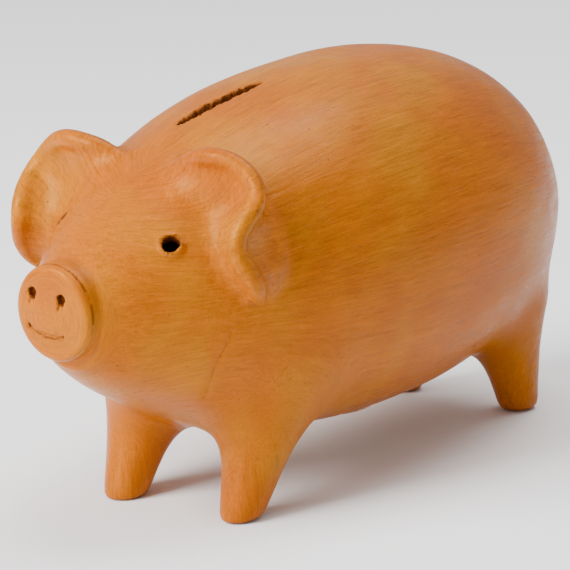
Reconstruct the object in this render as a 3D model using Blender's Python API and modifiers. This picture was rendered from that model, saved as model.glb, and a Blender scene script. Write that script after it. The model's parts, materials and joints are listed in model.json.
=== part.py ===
"""Burnished earthenware piggy bank, as its hand-built clay pieces and a cork stopper.

The pig faces -Y, its left side is +X, and its four feet stand on z = 0. Lengths are metres.
The body and head are one thrown egg, turned about an axis that rises slightly to the rump.
"""

import math

import bmesh
import bpy
from mathutils import Matrix, Vector

GAP = 0.0003  # luting gap between neighbouring pieces
WALL = 0.006  # thickness of the thrown clay wall

# The empty that carries every piece sits here, which centres the whole pig on the origin.
PIG_SHIFT_Y = -0.0067

# Thrown egg: stations run along its axis from the nose (-) to the rump (+).
AXIS_HEIGHT = 0.07165  # height of the axis at station 0
AXIS_TILT = math.radians(1.066)
NOSE_STATION = -0.1035
GIRTH_STATION = 0.0193
RUMP_STATION = 0.1151
NOSE_RADIUS = 0.0082
GIRTH_RADIUS = 0.05725
NOSE_EXPONENT = 0.745
RUMP_EXPONENT = 2.66
EGG_SEGMENTS = 56

NECK_STATION = -0.0685  # luted seam between the head and the body
HEAD_FRONT_STATION = -0.0965
HEAD_INNER_STATION = -0.0900

SNOUT_X = -0.0012  # the hand-set snout sits a little to the pig's right
SNOUT_HEIGHT = 0.0734
SNOUT_RADIUS = 0.0155
SNOUT_BACK = -0.0968
SNOUT_FRONT = -0.1046
SNOUT_DOME = 0.0007
SNOUT_EDGE = 0.0026
NOSTRIL_RADIUS = 0.0017
NOSTRIL_DEPTH = 0.0030
NOSTRIL_LEFT = (0.0035, 0.0783)  # x and height
NOSTRIL_RIGHT = (-0.0082, 0.0793)
MOUTH_X = -0.0035
MOUTH_WIDTH = 0.0136
MOUTH_SAG = 0.0019
MOUTH_HEIGHT = 0.0681
MOUTH_TILT = 0.0010  # the right corner of the mouth is this much above its mean height
MOUTH_LINE_RADIUS = 0.0007

EYE_LEFT = Vector((0.0237, -0.0775, 0.0919))
EYE_RIGHT = Vector((-0.0222, -0.0792, 0.0938))
EYE_RADIUS = 0.0027
EYE_AIM_STATION = Vector((0.0, -0.0550, 0.0710))  # both eye holes point at this place on the axis

SLOT_LENGTH = 0.0338
SLOT_WIDTH = 0.0052
SLOT_CENTRE_X = -0.0008
SLOT_CENTRE_Y = -0.0251
SLOT_TURN = math.radians(-14.0)  # cut askew: its front end points to the pig's right
SLOT_BOTTOM = 0.1000
SLOT_TOP = 0.1400

# Each ear is a cupped sheet between a root line sunk in the egg and a free rim.
EAR_RIM = (
    (0.0080, -0.0570, 0.1085),
    (0.0180, -0.0605, 0.1130),
    (0.0275, -0.0622, 0.1153),
    (0.0370, -0.0612, 0.1138),
    (0.0436, -0.0611, 0.1080),
    (0.0459, -0.0648, 0.1022),
    (0.0443, -0.0712, 0.0945),
    (0.0452, -0.0708, 0.0873),
    (0.0430, -0.0640, 0.0755),
)
EAR_ROOT = (
    (0.0070, -0.0545, 0.1050),
    (0.0140, -0.0560, 0.1035),
    (0.0200, -0.0570, 0.1005),
    (0.0260, -0.0580, 0.0965),
    (0.0305, -0.0590, 0.0920),
    (0.0335, -0.0595, 0.0875),
    (0.0355, -0.0600, 0.0830),
    (0.0370, -0.0600, 0.0785),
    (0.0380, -0.0600, 0.0740),
)
EAR_THICKNESS = 0.0056
EAR_CUP = 0.0030
EAR_COLUMNS = 16
EAR_ROWS = 4

# Leg sections: height above the floor and radius, before the leg is leaned.
LEG_SECTIONS = (
    (0.0610, 0.0190),
    (0.0500, 0.0185),
    (0.0440, 0.0170),
    (0.0380, 0.0150),
    (0.0320, 0.0132),
    (0.0250, 0.0115),
    (0.0170, 0.0097),
    (0.0080, 0.0080),
    (0.0026, 0.0070),
    (0.0009, 0.0063),
    (0.0000, 0.0048),
)
LEG_SEGMENTS = 28
FRONT_FOOT = (0.0241, -0.0547)
FRONT_LEAN = 0.46  # metres the leg moves back for each metre it rises
REAR_FOOT = (0.0242, 0.0887)
REAR_LEAN = -0.19

TAIL_RADIUS = 0.0024
TAIL_CURL_RADIUS = 0.0058
TAIL_CENTRE = Vector((0.0, 0.1163, 0.0800))
TAIL_TURNS = 1.15
TAIL_POINTS = 20
TAIL_TIP_SCALE = 0.55

STOPPER_Y = 0.0193
STOPPER_BOTTOM = 0.0153
STOPPER_LENGTH = 0.0140
STOPPER_TOP_RADIUS = 0.0130
STOPPER_BOTTOM_RADIUS = 0.0146
STOPPER_CHAMFER = 0.0010
STOPPER_SEGMENTS = 40

CLAY_COLOUR = (0.60, 0.21, 0.045, 1.0)
CLAY_SNOUT_COLOUR = (0.58, 0.19, 0.045, 1.0)
CORK_COLOUR = (0.42, 0.25, 0.12, 1.0)
CLAY_ROUGHNESS = 0.42
CORK_ROUGHNESS = 0.85


def clear_scene():
    """Remove every object of the startup scene."""
    for obj in list(bpy.data.objects):
        bpy.data.objects.remove(obj, do_unlink=True)


def new_collection(name):
    """Make a collection in the scene."""
    collection = bpy.data.collections.new(name)
    bpy.context.scene.collection.children.link(collection)
    return collection


def new_material(name, colour, roughness):
    """Make a plain Principled material."""
    material = bpy.data.materials.new(name)
    material.use_nodes = True
    shader = material.node_tree.nodes["Principled BSDF"]
    shader.inputs["Base Color"].default_value = colour
    shader.inputs["Roughness"].default_value = roughness
    shader.inputs["Metallic"].default_value = 0.0
    material.diffuse_color = colour
    return material


def egg_radius(station):
    """Outer radius of the egg at a station along its axis."""
    if station < GIRTH_STATION:
        run = (station - NOSE_STATION) / (GIRTH_STATION - NOSE_STATION)
        swell = math.sin(math.pi / 2 * max(run, 0.0) ** NOSE_EXPONENT)
        return NOSE_RADIUS + (GIRTH_RADIUS - NOSE_RADIUS) * swell
    run = (station - GIRTH_STATION) / (RUMP_STATION - GIRTH_STATION)
    return GIRTH_RADIUS * math.sqrt(max(1.0 - run**RUMP_EXPONENT, 0.0))


def rump_stations(first, count):
    """Stations from the girth to the rump that bunch up where the egg turns in."""
    angles = [math.pi / 2 * i / count for i in range(first, count + 1)]
    return [GIRTH_STATION + (RUMP_STATION - GIRTH_STATION) * math.sin(a) for a in angles]


def even_stations(start, end, count):
    """Evenly spaced stations, both ends included."""
    return [start + (end - start) * i / count for i in range(count + 1)]


def egg_point(station, offset):
    """(radius, height) of a point moved off the egg's wall by offset, for a profile whose +Z is the nose."""
    step = 1e-5
    if station > RUMP_STATION - step:
        return (0.0, -(RUMP_STATION + offset))
    run = Vector((egg_radius(station + step) - egg_radius(station - step), -2 * step))
    outward = Vector((-run.y, run.x)).normalized()
    radius = egg_radius(station) + offset * outward.x
    return (max(radius, 0.0), -station + offset * outward.y)


def new_object(name, mesh, collection):
    """Link a mesh to the scene as an object under the pig's empty."""
    obj = bpy.data.objects.new(name, mesh)
    collection.objects.link(obj)
    obj.parent = bpy.data.objects["pig_centre"]
    return obj


def turned(name, profile, segments, collection):
    """Turn a profile of (radius, height) points, in top to bottom order, about local Z."""
    mesh = bpy.data.meshes.new(name)
    points = [(radius, 0.0, height) for radius, height in profile]
    edges = [(i, i + 1) for i in range(len(points) - 1)]
    mesh.from_pydata(points, edges, [])
    obj = new_object(name, mesh, collection)
    screw = obj.modifiers.new("Screw", "SCREW")
    screw.axis = "Z"
    screw.angle = 2 * math.pi
    screw.steps = segments
    screw.render_steps = segments
    screw.use_merge_vertices = True
    screw.merge_threshold = 0.00001
    screw.use_smooth_shade = True
    return obj


def on_egg_axis(obj):
    """Lay a turned piece along the egg's axis, with its local +Z toward the nose."""
    obj.location = (0.0, 0.0, AXIS_HEIGHT)
    obj.rotation_euler = (math.pi / 2 + AXIS_TILT, 0.0, 0.0)


def made_mesh(obj):
    """Replace an object by the mesh its modifiers make, keeping its name and place."""
    graph = bpy.context.evaluated_depsgraph_get()
    mesh = bpy.data.meshes.new_from_object(obj.evaluated_get(graph))
    name = obj.name
    collection = obj.users_collection[0]
    matrix = obj.matrix_basis.copy()
    bpy.data.objects.remove(obj, do_unlink=True)
    baked = new_object(name, mesh, collection)
    baked.matrix_basis = matrix
    return baked


def as_cutter(obj):
    """Mark an object as a helper that is left out of the model."""
    obj.hide_render = True
    obj.display_type = "WIRE"
    return obj


def cut(obj, cutter):
    """Take the cutter out of the object."""
    boolean = obj.modifiers.new("Cut " + cutter.name, "BOOLEAN")
    boolean.operation = "DIFFERENCE"
    boolean.solver = "EXACT"
    boolean.object = cutter


def finish(obj, material):
    """Give a piece its material and shade its round sides smooth."""
    obj.data.materials.clear()
    obj.data.materials.append(material)
    obj.data.shade_smooth()


def rod(name, start, end, radius, collection, segments=20):
    """A cylinder from start to end, as a cutter."""
    mesh = bpy.data.meshes.new(name)
    work = bmesh.new()
    run = end - start
    bmesh.ops.create_cone(
        work,
        cap_ends=True,
        segments=segments,
        radius1=radius,
        radius2=radius,
        depth=run.length,
    )
    work.to_mesh(mesh)
    work.free()
    obj = as_cutter(new_object(name, mesh, collection))
    obj.location = (start + end) / 2
    obj.rotation_mode = "QUATERNION"
    obj.rotation_quaternion = run.to_track_quat("Z", "Y")
    return obj


def make_envelope(cutters):
    """The egg's outer surface plus the luting gap: it trims whatever is stuck onto the egg."""
    stations = even_stations(HEAD_FRONT_STATION, GIRTH_STATION, 16) + rump_stations(1, 12)
    profile = [(0.0, -HEAD_FRONT_STATION)]
    profile += [egg_point(station, GAP) for station in stations]
    egg = turned("egg_envelope", profile, EGG_SEGMENTS, cutters)
    on_egg_axis(egg)
    return as_cutter(egg)


def make_body_shell(pieces, cutters, clay):
    """The hollow body, open at the neck, with the coin slot and the stopper hole."""
    start = NECK_STATION + GAP
    outer = even_stations(start, GIRTH_STATION, 12) + rump_stations(1, 12)
    inner = even_stations(start, GIRTH_STATION, 9) + rump_stations(1, 8)
    profile = [egg_point(station, -WALL) for station in reversed(inner)]
    profile[-1] = (egg_radius(start) - WALL, -start)
    profile += [(egg_radius(start), -start)]
    profile += [egg_point(station, 0.0) for station in outer[1:]]
    body = turned("body_shell", profile, EGG_SEGMENTS, pieces)
    on_egg_axis(body)
    cut(body, make_slot_cutter(cutters))
    cut(body, make_stopper_cutter(cutters))
    finish(body, clay)
    return body


def make_slot_cutter(cutters):
    """A straight-sided slot with rounded ends, cut down through the top of the body."""
    mesh = bpy.data.meshes.new("slot_cutter")
    work = bmesh.new()
    bmesh.ops.create_cube(work, size=1.0)
    scale = Vector((SLOT_WIDTH, SLOT_LENGTH, SLOT_TOP - SLOT_BOTTOM))
    bmesh.ops.scale(work, vec=scale, verts=work.verts)
    upright = [edge for edge in work.edges if abs(edge.verts[0].co.z - edge.verts[1].co.z) > SLOT_WIDTH]
    bmesh.ops.bevel(
        work,
        geom=upright,
        offset=SLOT_WIDTH * 0.45,
        segments=3,
        profile=0.5,
        affect="EDGES",
    )
    work.to_mesh(mesh)
    work.free()
    slot = as_cutter(new_object("slot_cutter", mesh, cutters))
    slot.location = (SLOT_CENTRE_X, SLOT_CENTRE_Y, (SLOT_TOP + SLOT_BOTTOM) / 2)
    slot.rotation_euler.z = SLOT_TURN
    return slot


def make_head_shell(pieces, cutters, clay):
    """The hollow head from the neck seam to the flat that carries the snout, with pierced eyes."""
    outer = even_stations(HEAD_FRONT_STATION, NECK_STATION, 7)
    inner = even_stations(HEAD_INNER_STATION, NECK_STATION, 5)
    profile = [(0.0, -HEAD_FRONT_STATION)]
    profile += [(egg_radius(station), -station) for station in outer]
    profile += [(egg_radius(station) - WALL, -station) for station in reversed(inner)]
    profile += [(0.0, -HEAD_INNER_STATION)]
    head = turned("head_shell", profile, EGG_SEGMENTS, pieces)
    on_egg_axis(head)
    for name, eye in (("eye_cutter_left", EYE_LEFT), ("eye_cutter_right", EYE_RIGHT)):
        inward = (EYE_AIM_STATION - eye).normalized()
        reach = WALL * 2
        cut(head, rod(name, eye - inward * reach, eye + inward * reach, EYE_RADIUS, cutters))
    finish(head, clay)
    return head


def make_snout_disc(pieces, cutters, clay):
    """The turned snout pad, with two blind nostrils and a scored smile."""
    thickness = SNOUT_BACK - SNOUT_FRONT
    profile = [(0.0, thickness + SNOUT_DOME)]
    profile += [(SNOUT_RADIUS * 0.45, thickness + SNOUT_DOME * 0.75)]
    profile += [(SNOUT_RADIUS - SNOUT_EDGE, thickness)]
    for i in range(1, 5):
        angle = math.pi / 2 * i / 4
        radius = SNOUT_RADIUS - SNOUT_EDGE + SNOUT_EDGE * math.sin(angle)
        profile += [(radius, thickness - SNOUT_EDGE + SNOUT_EDGE * math.cos(angle))]
    profile += [(SNOUT_RADIUS * 0.97, 0.0), (0.0, 0.0)]
    snout = turned("snout_disc", profile, 44, pieces)
    snout.location = (SNOUT_X, SNOUT_BACK, SNOUT_HEIGHT)
    snout.rotation_euler = (math.pi / 2, 0.0, 0.0)
    face = SNOUT_FRONT - SNOUT_DOME / 2
    for side, (x, height) in (("left", NOSTRIL_LEFT), ("right", NOSTRIL_RIGHT)):
        start = Vector((x, face - NOSTRIL_DEPTH, height))
        end = Vector((x, face + NOSTRIL_DEPTH, height))
        cut(snout, rod("nostril_cutter_" + side, start, end, NOSTRIL_RADIUS, cutters, segments=14))
    cut(snout, make_mouth_cutter(face, cutters))
    finish(snout, clay)
    return snout


def make_mouth_cutter(face, cutters):
    """A thin bent rod laid half into the snout's face, to score the smile."""
    count = 8
    points = []
    for i in range(count + 1):
        across = 2 * i / count - 1
        height = MOUTH_HEIGHT - MOUTH_SAG * (1 - across * across) - MOUTH_TILT * across
        points.append((MOUTH_X + across * MOUTH_WIDTH / 2, face, height))
    return as_cutter(tube("mouth_cutter", points, MOUTH_LINE_RADIUS, [1.0] * (count + 1), cutters))


def tube(name, points, radius, scales, collection):
    """A closed tube mesh along a line of points, with a radius scale at each."""
    curve = bpy.data.curves.new(name, "CURVE")
    curve.dimensions = "3D"
    curve.bevel_depth = radius
    curve.bevel_resolution = 2
    curve.use_fill_caps = True
    spline = curve.splines.new("POLY")
    spline.points.add(len(points) - 1)
    for place, point, scale in zip(spline.points, points, scales):
        place.co = (*point, 1.0)
        place.radius = scale
    guide = bpy.data.objects.new(name + "_guide", curve)
    collection.objects.link(guide)
    graph = bpy.context.evaluated_depsgraph_get()
    mesh = bpy.data.meshes.new_from_object(guide.evaluated_get(graph))
    bpy.data.objects.remove(guide, do_unlink=True)
    work = bmesh.new()
    work.from_mesh(mesh)
    bmesh.ops.remove_doubles(work, verts=work.verts, dist=0.00001)
    bmesh.ops.recalc_face_normals(work, faces=work.faces)
    work.to_mesh(mesh)
    work.free()
    mesh.name = name
    return new_object(name, mesh, collection)


def smooth_line(points, position):
    """Point at position 0 to 1 on a Catmull-Rom line through the points."""
    spans = len(points) - 1
    index = min(int(position * spans), spans - 1)
    t = position * spans - index
    p1 = Vector(points[index])
    p2 = Vector(points[index + 1])
    p0 = Vector(points[index - 1]) if index > 0 else p1 * 2 - p2
    p3 = Vector(points[index + 2]) if index + 2 <= spans else p2 * 2 - p1
    a = p1 * 3 - p0 - p2 * 3 + p3
    b = p0 * 2 - p1 * 5 + p2 * 4 - p3
    return (a * t**3 + b * t**2 + (p2 - p0) * t + p1 * 2) / 2


def make_ear(name, side, envelope, pieces, clay):
    """A cupped sheet lofted from root line to rim, thickened, softened and trimmed to the egg."""
    work = bmesh.new()
    grid = []
    for column in range(EAR_COLUMNS + 1):
        along = column / EAR_COLUMNS
        root = smooth_line(EAR_ROOT, along)
        rim = smooth_line(EAR_RIM, along)
        line = []
        for row in range(EAR_ROWS + 1):
            up = row / EAR_ROWS
            point = root.lerp(rim, up)
            point.y += EAR_CUP * math.sin(math.pi * up) * math.sin(math.pi * along)
            line.append(work.verts.new((side * point.x, point.y, point.z)))
        grid.append(line)
    for column in range(EAR_COLUMNS):
        for row in range(EAR_ROWS):
            corners = [
                grid[column][row],
                grid[column + 1][row],
                grid[column + 1][row + 1],
                grid[column][row + 1],
            ]
            work.faces.new(corners if side > 0 else corners[::-1])
    mesh = bpy.data.meshes.new(name)
    work.to_mesh(mesh)
    work.free()
    ear = new_object(name, mesh, pieces)
    solidify = ear.modifiers.new("Thickness", "SOLIDIFY")
    solidify.thickness = EAR_THICKNESS
    solidify.offset = 0.0
    solidify.use_rim = True
    soften = ear.modifiers.new("Soften", "SUBSURF")
    soften.levels = 1
    soften.render_levels = 1
    cut(ear, envelope)
    finish(ear, clay)
    return ear


def make_leg(name, foot, lean, envelope, pieces, clay):
    """A turned leg with a flat foot, leaned along the body and trimmed to the egg."""
    top = LEG_SECTIONS[0][0]
    profile = [(0.0, top)]
    profile += [(radius, height) for height, radius in LEG_SECTIONS]
    profile += [(0.0, 0.0)]
    leg = made_mesh(turned(name, profile, LEG_SEGMENTS, pieces))
    shear = Matrix.Identity(4)
    shear[1][2] = lean
    leg.data.transform(shear)
    leg.location = (foot[0], foot[1], 0.0)
    cut(leg, envelope)
    finish(leg, clay)
    return leg


def make_tail(envelope, pieces, clay):
    """A little clay coil curled against the rump."""
    points = []
    scales = []
    for i in range(TAIL_POINTS + 1):
        along = i / TAIL_POINTS
        angle = 2 * math.pi * TAIL_TURNS * along - math.pi / 2
        reach = TAIL_CURL_RADIUS * (1 - 0.55 * along)
        x = TAIL_CENTRE.x + reach * math.cos(angle)
        z = TAIL_CENTRE.z + reach * math.sin(angle)
        points.append((x, TAIL_CENTRE.y, z))
        scales.append(1 - (1 - TAIL_TIP_SCALE) * along)
    tail = tube("tail", points, TAIL_RADIUS, scales, pieces)
    cut(tail, envelope)
    finish(tail, clay)
    return tail


def make_stopper_cutter(cutters):
    """The tapered hole in the belly, one gap wider than the stopper."""
    slope = (STOPPER_BOTTOM_RADIUS - STOPPER_TOP_RADIUS) / STOPPER_LENGTH
    reach = 0.004
    length = STOPPER_LENGTH + 2 * reach
    mesh = bpy.data.meshes.new("stopper_hole_cutter")
    work = bmesh.new()
    bmesh.ops.create_cone(
        work,
        cap_ends=True,
        segments=STOPPER_SEGMENTS,
        radius1=STOPPER_BOTTOM_RADIUS + slope * reach + GAP,
        radius2=STOPPER_TOP_RADIUS - slope * reach + GAP,
        depth=length,
    )
    work.to_mesh(mesh)
    work.free()
    hole = as_cutter(new_object("stopper_hole_cutter", mesh, cutters))
    hole.location = (0.0, STOPPER_Y, STOPPER_BOTTOM - reach + length / 2)
    return hole


def make_stopper(pieces, cork):
    """The tapered cork that closes the belly: it slides straight down out of its hole."""
    profile = [
        (0.0, STOPPER_LENGTH),
        (STOPPER_TOP_RADIUS - STOPPER_CHAMFER, STOPPER_LENGTH),
        (STOPPER_TOP_RADIUS, STOPPER_LENGTH - STOPPER_CHAMFER),
        (STOPPER_BOTTOM_RADIUS, STOPPER_CHAMFER),
        (STOPPER_BOTTOM_RADIUS - STOPPER_CHAMFER, 0.0),
        (0.0, 0.0),
    ]
    stopper = turned("belly_stopper", profile, STOPPER_SEGMENTS, pieces)
    stopper.location = (0.0, STOPPER_Y, STOPPER_BOTTOM)
    finish(stopper, cork)
    return stopper


def main():
    clear_scene()
    pieces = new_collection("piggy_bank")
    cutters = new_collection("cutters")
    centre = bpy.data.objects.new("pig_centre", None)
    centre.location = (0.0, PIG_SHIFT_Y, 0.0)
    pieces.objects.link(centre)
    clay = new_material("burnished_clay", CLAY_COLOUR, CLAY_ROUGHNESS)
    snout_clay = new_material("snout_clay", CLAY_SNOUT_COLOUR, CLAY_ROUGHNESS)
    cork = new_material("cork", CORK_COLOUR, CORK_ROUGHNESS)
    envelope = make_envelope(cutters)
    make_body_shell(pieces, cutters, clay)
    make_head_shell(pieces, cutters, clay)
    make_snout_disc(pieces, cutters, snout_clay)
    make_ear("ear_left", 1, envelope, pieces, clay)
    make_ear("ear_right", -1, envelope, pieces, clay)
    for side, sign in (("left", 1), ("right", -1)):
        front = (sign * FRONT_FOOT[0], FRONT_FOOT[1])
        rear = (sign * REAR_FOOT[0], REAR_FOOT[1])
        make_leg("leg_front_" + side, front, FRONT_LEAN, envelope, pieces, clay)
        make_leg("leg_rear_" + side, rear, REAR_LEAN, envelope, pieces, clay)
    make_tail(envelope, pieces, clay)
    make_stopper(pieces, cork)


main()
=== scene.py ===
"""Burnished earthenware piggy bank: fine surface, clay and cork materials, studio set.

The whole pig is one smooth implicit surface, as a potter blends the luted pieces with a wet
thumb. It is meshed once, then split along the joins into the pieces that the CAD model names,
so that neighbours share their edge and no join shows.
"""

import json
import math

import bpy
import numpy as np
from mathutils import Matrix, Vector, geometry
from mathutils.bvhtree import BVHTree


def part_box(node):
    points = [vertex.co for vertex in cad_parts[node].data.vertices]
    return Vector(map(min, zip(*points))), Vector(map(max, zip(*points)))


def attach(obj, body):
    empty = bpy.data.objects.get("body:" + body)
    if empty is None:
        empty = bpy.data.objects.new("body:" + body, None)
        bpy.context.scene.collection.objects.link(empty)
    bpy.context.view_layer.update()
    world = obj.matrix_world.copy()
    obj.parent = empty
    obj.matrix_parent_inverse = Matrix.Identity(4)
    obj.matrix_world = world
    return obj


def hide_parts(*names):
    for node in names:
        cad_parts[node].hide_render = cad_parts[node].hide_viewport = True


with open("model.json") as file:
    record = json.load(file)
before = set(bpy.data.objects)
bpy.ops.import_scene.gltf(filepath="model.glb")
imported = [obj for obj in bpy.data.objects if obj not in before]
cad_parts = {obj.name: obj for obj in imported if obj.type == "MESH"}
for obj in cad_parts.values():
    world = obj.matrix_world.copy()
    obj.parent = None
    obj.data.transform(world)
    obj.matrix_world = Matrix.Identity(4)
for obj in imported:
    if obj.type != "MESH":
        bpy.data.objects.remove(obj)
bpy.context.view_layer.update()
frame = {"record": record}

# --- Places and sizes that follow the CAD model ---

MOUNTS = {mount["name"]: Vector(mount["pos_m"]) for mount in frame["record"]["mounts"]}
SNOUT_LOW, SNOUT_HIGH = (Vector(corner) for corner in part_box("snout_disc"))
STOPPER_LOW, STOPPER_HIGH = (Vector(corner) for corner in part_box("belly_stopper"))
BODY_LOW, BODY_HIGH = (Vector(corner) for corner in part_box("body_shell"))
_, TAIL_HIGH = (Vector(corner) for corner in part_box("tail"))

# Lengths below are in the pig's own frame; SHIFT moves it to the CAD model's.
SHIFT = Vector((0.0, MOUNTS["foot_front_left"].y + 0.0547, 0.0))

WALL = 0.006
AXIS_HEIGHT = 0.07165
AXIS_SLOPE = math.tan(math.radians(1.066))
NOSE_STATION = -0.1035
GIRTH_STATION = 0.0193
RUMP_STATION = 0.1151
NOSE_RADIUS = 0.0082
GIRTH_RADIUS = (BODY_HIGH.x - BODY_LOW.x) / 2
NOSE_EXPONENT = 0.745
RUMP_EXPONENT = 2.66
NECK_STATION = -0.0685
CAVITY_FRONT = -0.0900

SNOUT_CENTRE = (SNOUT_LOW + SNOUT_HIGH) / 2 - SHIFT
SNOUT_RADIUS = (SNOUT_HIGH.x - SNOUT_LOW.x) / 2
SNOUT_FACE = SNOUT_LOW.y - SHIFT.y
SNOUT_BACK = -0.0968

FOOT_RADIUS = 0.0063
LEGS = {}  # each leg's foot, hip, and its radius at both
for end, foot, hip, hip_radius in (
    ("front", (0.0241, -0.0547, 0.0), (0.0243, -0.0339, 0.0450), 0.0150),
    ("rear", (0.0242, 0.0887, 0.0), (0.0245, 0.0815, 0.0380), 0.0128),
):
    for side, sign in (("left", 1), ("right", -1)):
        ends = tuple((sign * x, y, z) for x, y, z in (foot, hip))
        LEGS[f"leg_{end}_{side}"] = (*ends, FOOT_RADIUS, hip_radius)
LEG_BLEND = 0.022
FOOT_PLANE = 0.0002

# These lines are not worked out from the frame. EAR_FRONT, CREASE and EAR_SEAM, and a part of
# EAR_RIM, were read off the photograph by a separate ray-casting script, and some were adjusted
# afterwards. EAR_BACK and EAR_FRONT_RISE were set one by one.
EAR_RIM = (
    (0.0100, -0.0580, 0.1092),
    (0.0173, -0.0603, 0.1128),
    (0.0230, -0.0618, 0.1146),
    (0.0290, -0.0625, 0.1157),
    (0.0345, -0.0616, 0.1149),
    (0.0395, -0.0607, 0.1122),
    (0.0434, -0.0610, 0.1084),
    (0.0458, -0.0635, 0.1040),
    (0.0456, -0.0672, 0.1002),
    (0.0445, -0.0706, 0.0959),
    (0.0442, -0.0718, 0.0917),
    (0.0450, -0.0712, 0.0876),
    (0.0462, -0.0695, 0.0838),
    (0.0466, -0.0664, 0.0790),
    (0.0440, -0.0625, 0.0745),
)
# The lip in front of the dish, from the forehead round behind the eye and down the cheek.
EAR_FRONT = (
    (0.0085, -0.0575, 0.1119),
    (0.0098, -0.0609, 0.1099),
    (0.0128, -0.0643, 0.1072),
    (0.0163, -0.0667, 0.1044),
    (0.0202, -0.0679, 0.1016),
    (0.0244, -0.0679, 0.0984),
    (0.0277, -0.0675, 0.0953),
    (0.0302, -0.0675, 0.0923),
    (0.0324, -0.0675, 0.0888),
    (0.0346, -0.0673, 0.0845),
    (0.0367, -0.0661, 0.0799),
    (0.0391, -0.0629, 0.0752),
)
# How far the lip stands over the egg at each of its points.
EAR_FRONT_RISE = (
    0.0004, 0.0008, 0.0010, 0.0008, -0.0002, -0.0012,
    -0.0002, 0.0011, 0.0015, 0.0012, 0.0006, -0.0004,
)
EAR_BACK = (
    (0.0100, -0.0545, 0.1090),
    (0.0160, -0.0530, 0.1090),
    (0.0220, -0.0510, 0.1070),
    (0.0280, -0.0495, 0.1035),
    (0.0330, -0.0490, 0.0990),
    (0.0370, -0.0495, 0.0940),
    (0.0395, -0.0505, 0.0890),
    (0.0410, -0.0520, 0.0840),
    (0.0420, -0.0540, 0.0800),
    (0.0425, -0.0570, 0.0760),
)

EYES = (((0.0236, -0.0775, 0.0919), 0.0027), ((-0.0200, -0.0772, 0.0949), 0.0022))
HOLE_AIM = (0.0, -0.0550, 0.0710)  # both eye holes point at this place on the axis
NOSTRILS = ((0.0035, 0.0783), (-0.0082, 0.0793))
SLOT_CENTRE = (-0.0003, -0.0253)
SLOT_TURN = math.radians(11)
SLOT_HALF_LENGTH = 0.0172
SLOT_HALF_WIDTH = 0.0020


# --- Implicit surfaces ---


def smooth_min(a, b, width):
    """Blend two distances as wet clay blends at a join."""
    h = np.maximum(width - np.abs(a - b), 0.0) / width
    return np.minimum(a, b) - h**3 * width / 6


def smooth_max(a, b, width):
    return -smooth_min(-a, -b, width)


def egg_frame(p):
    """Station along the egg's axis, and the two coordinates across it."""
    norm = math.sqrt(1 + AXIS_SLOPE**2)
    dz = p[:, 2] - AXIS_HEIGHT
    station = (p[:, 1] + dz * AXIS_SLOPE) / norm
    up = (dz - p[:, 1] * AXIS_SLOPE) / norm
    return station, p[:, 0], up


def egg(p):
    """Distance to the thrown egg of the head and body."""
    station, across, up = egg_frame(p)
    radius = np.hypot(across, up)
    span = GIRTH_STATION - NOSE_STATION
    run = np.clip((station - NOSE_STATION) / span, 0.012, 1.0)
    bend = math.pi / 2 * run**NOSE_EXPONENT
    front = NOSE_RADIUS + (GIRTH_RADIUS - NOSE_RADIUS) * np.sin(bend)
    slope = (GIRTH_RADIUS - NOSE_RADIUS) * np.cos(bend) * math.pi / 2
    slope = slope * NOSE_EXPONENT * run ** (NOSE_EXPONENT - 1) / span
    d_front = (radius - front) / np.sqrt(1 + slope**2)
    span = RUMP_STATION - GIRTH_STATION
    back = np.maximum((station - GIRTH_STATION) / span, 0.0)
    level = (radius / GIRTH_RADIUS) ** 2 + back**RUMP_EXPONENT - 1
    steep = np.hypot(2 * radius / GIRTH_RADIUS**2, RUMP_EXPONENT * back ** (RUMP_EXPONENT - 1) / span)
    d_back = level / np.maximum(steep, 1.0)
    d = np.where(station < GIRTH_STATION, d_front, d_back)
    return np.maximum(d, NOSE_STATION + 0.004 - station)


def round_cone(p, a, b, r1, r2):
    """Distance to a cone with rounded ends."""
    a = np.array(a)
    ba = np.array(b) - a
    l2 = ba @ ba
    rr = r1 - r2
    a2 = l2 - rr * rr
    pa = p - a
    y = pa @ ba
    z = y - l2
    x2 = ((pa * l2 - y[:, None] * ba) ** 2).sum(1)
    y2 = y * y * l2
    z2 = z * z * l2
    k = np.sign(rr) * rr * rr * x2
    d = (np.sqrt(x2 * a2 / l2) + y * rr) / l2 - r1
    d = np.where(np.sign(z) * a2 * z2 > k, np.sqrt(x2 + z2) / l2 - r2, d)
    return np.where(np.sign(y) * a2 * y2 < k, np.sqrt(x2 + y2) / l2 - r1, d)


def leg(p, name):
    foot, hip, foot_radius, hip_radius = LEGS[name]
    cone = round_cone(p, foot, hip, foot_radius, hip_radius)
    return smooth_max(cone, -p[:, 2], 0.005)


def disc(p, radius, front, edge, dome):
    """A disc round the snout's centre line, with a rolled edge and a slightly domed face."""
    r = np.hypot(p[:, 0] - SNOUT_CENTRE.x, p[:, 2] - SNOUT_CENTRE.z)
    back = SNOUT_BACK + 0.0015
    half = (back - front) / 2
    dx = r - (radius - edge)
    dy = np.abs(p[:, 1] - (front + half)) - (half - edge - dome * (r / radius) ** 2)
    inside = np.minimum(np.maximum(dx, dy), 0.0)
    return inside + np.hypot(np.maximum(dx, 0.0), np.maximum(dy, 0.0)) - edge


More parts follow.
